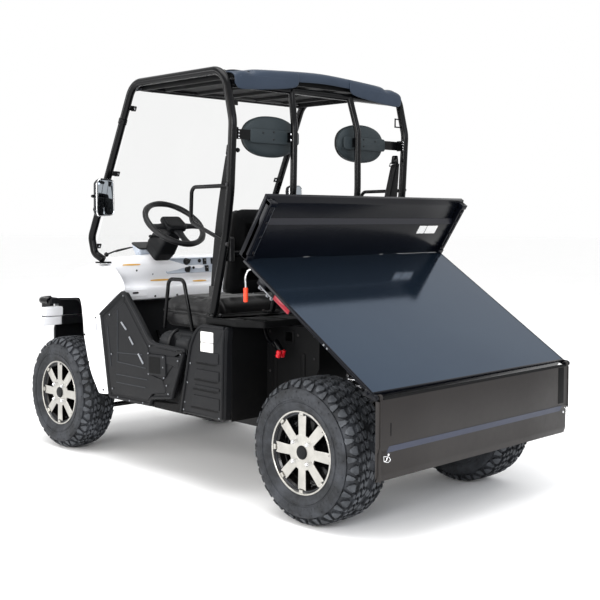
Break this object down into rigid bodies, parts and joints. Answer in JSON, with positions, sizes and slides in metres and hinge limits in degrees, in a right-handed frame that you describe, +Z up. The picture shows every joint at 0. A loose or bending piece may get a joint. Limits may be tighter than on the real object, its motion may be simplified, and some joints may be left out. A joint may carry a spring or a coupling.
{
  "type": "side by side utility vehicle",
  "caption": "Side by side utility vehicle with an open cage, half doors, a windscreen, a tilted dump bed and a hanging tailgate.",
  "frame": {"origin": "under the middle of the vehicle's overall box, on the ground", "axes": "+Z up, +Y towards the rear, so the front faces -Y and the vehicle's left side is +X"},
  "size_m": [1.424, 2.815, 1.966],
  "materials": {
    "white_body": "gloss",
    "black_plastic": "satin grain",
    "roof_plastic": "satin grain",
    "dash_plastic": "satin grain",
    "grey_plastic": "satin grain",
    "cage_paint": "satin powder coat",
    "seat_vinyl": "matt grain",
    "belt_webbing": "woven",
    "tyre_rubber": "matt",
    "wheel_alloy": "machined",
    "screen_clear": "clear",
    "lamp_lens": "clear",
    "tail_lens": "gloss",
    "bed_paint": "gloss paint",
    "gate_paint": "gloss paint",
    "plated_steel": "bright plating",
    "dark_steel": "dark",
    "wheel_grip": "satin",
    "orange_grip": "satin"
  },
  "bodies": {
    "vehicle_body": {"bed_lock_lever": "dark_steel", "cage_cross_frame": "cage_paint", "cage_side_hoops": "cage_paint", "chassis_frame": "cage_paint", "dashboard": "white_body", "door_hinges": "plated_steel", "floor_pan": "grey_plastic", "front_bumper": "cage_paint", "front_fascia": "black_plastic", "front_fenders": "white_body", "front_subframe": "cage_paint", "front_suspension_arms": "cage_paint", "gauge_pod": "dash_plastic", "headlamps": "lamp_lens", "headrests": "seat_vinyl", "hood": "white_body", "mirrors": "black_plastic", "motor_block": "dark_steel", "pedals": "cage_paint", "rack_housing": "black_plastic", "rear_axle": "cage_paint", "rear_inner_panels": "black_plastic", "rear_shelf": "black_plastic", "roof_panel": "roof_plastic", "seat_backs": "seat_vinyl", "seat_base": "grey_plastic", "seat_belts": "belt_webbing", "seat_cushions": "seat_vinyl", "shock_absorbers": "dark_steel", "side_grab_bars": "cage_paint", "side_panels": "black_plastic", "steering_column": "dash_plastic", "tail_lamps": "tail_lens", "tow_hitch": "dark_steel", "wheel_arch_liners": "black_plastic", "windscreen": "screen_clear"},
    "knuckle_left": {"knuckle_left": "cage_paint"},
    "knuckle_right": {"knuckle_right": "cage_paint"},
    "wheel_front_left": {"tyre_front_left": "tyre_rubber", "rim_front_left": "wheel_alloy"},
    "wheel_front_right": {"tyre_front_right": "tyre_rubber", "rim_front_right": "wheel_alloy"},
    "wheel_rear_left": {"tyre_rear_left": "tyre_rubber", "rim_rear_left": "wheel_alloy"},
    "wheel_rear_right": {"tyre_rear_right": "tyre_rubber", "rim_rear_right": "wheel_alloy"},
    "steering_wheel": {"steering_wheel": "wheel_grip"},
    "tie_rods": {"tie_rods": "plated_steel"},
    "door_left": {"door_left": "black_plastic"},
    "door_right": {"door_right": "black_plastic"},
    "bed": {"bed_deck": "bed_paint", "bed_headboard": "bed_paint", "bed_frame": "bed_paint", "bed_release_handle": "orange_grip"},
    "tailgate": {"tailgate": "gate_paint", "tailgate_latches": "plated_steel"},
    "lift_tube": {"lift_tube": "dark_steel"},
    "lift_rod": {"lift_rod": "plated_steel"}
  },
  "joints": [
    {"name": "left_steer", "type": "hinge", "parent": "vehicle_body", "child": "knuckle_left", "pos_m": [0.412, -0.9675, 0.3], "axis": [0, 0, 1], "range_deg": [-28, 28]},
    {"name": "right_steer", "type": "hinge", "parent": "vehicle_body", "child": "knuckle_right", "pos_m": [-0.412, -0.9675, 0.3], "axis": [0, 0, 1], "range_deg": [-29, 29]},
    {"name": "front_left_spin", "type": "hinge", "parent": "knuckle_left", "child": "wheel_front_left", "pos_m": [0.5055, -0.9675, 0.3], "axis": [1, 0, 0], "continuous": true},
    {"name": "front_right_spin", "type": "hinge", "parent": "knuckle_right", "child": "wheel_front_right", "pos_m": [-0.5055, -0.9675, 0.3], "axis": [1, 0, 0], "continuous": true},
    {"name": "rear_left_spin", "type": "hinge", "parent": "vehicle_body", "child": "wheel_rear_left", "pos_m": [0.506, 0.9375, 0.3], "axis": [1, 0, 0], "continuous": true},
    {"name": "rear_right_spin", "type": "hinge", "parent": "vehicle_body", "child": "wheel_rear_right", "pos_m": [-0.506, 0.9375, 0.3], "axis": [1, 0, 0], "continuous": true},
    {"name": "steering_wheel_turn", "type": "hinge", "parent": "vehicle_body", "child": "steering_wheel", "pos_m": [0.28, -0.3467, 1.217], "axis": [0, 0.6428, 0.766], "range_deg": [-255, 255]},
    {"name": "tie_rod_slide", "type": "slide", "parent": "vehicle_body", "child": "tie_rods", "axis": [1, 0, 0], "range_m": [-0.0495, 0.0495]},
    {"name": "door_left_swing", "type": "hinge", "parent": "vehicle_body", "child": "door_left", "pos_m": [0.614, -0.572, 0.595], "axis": [0, 0, -1], "range_deg": [0, 70]},
    {"name": "door_right_swing", "type": "hinge", "parent": "vehicle_body", "child": "door_right", "pos_m": [-0.614, -0.572, 0.595], "axis": [0, 0, 1], "range_deg": [0, 70]},
    {"name": "bed_tilt", "type": "hinge", "parent": "vehicle_body", "child": "bed", "pos_m": [0, 0.96683, 0.79135], "axis": [1, 0, 0], "range_deg": [0, 33.2]},
    {"name": "tailgate_swing", "type": "hinge", "parent": "bed", "child": "tailgate", "pos_m": [0, 1.3835, 0.588], "axis": [1, 0, 0], "range_deg": [-20, 146.8]},
    {"name": "lift_tube_tilt", "type": "hinge", "parent": "vehicle_body", "child": "lift_tube", "pos_m": [0, 0.652, 0.345], "axis": [1, 0, 0], "range_deg": [0, 2.3]},
    {"name": "lift_rod_slide", "type": "slide", "parent": "lift_tube", "child": "lift_rod", "axis": [0, 0.2091, 0.9779], "range_m": [-0.132, 0]}
  ],
  "couplings": [
    {"joint": "right_steer", "follows": "left_steer", "ratio": 1},
    {"joint": "steering_wheel_turn", "follows": "left_steer", "ratio": 9},
    {"joint": "tie_rod_slide", "follows": "left_steer", "m_per_rad": -0.1},
    {"joint": "lift_tube_tilt", "follows": "bed_tilt", "ratio": 0.0614},
    {"joint": "lift_rod_slide", "follows": "bed_tilt", "m_per_rad": -0.22588}
  ]
}
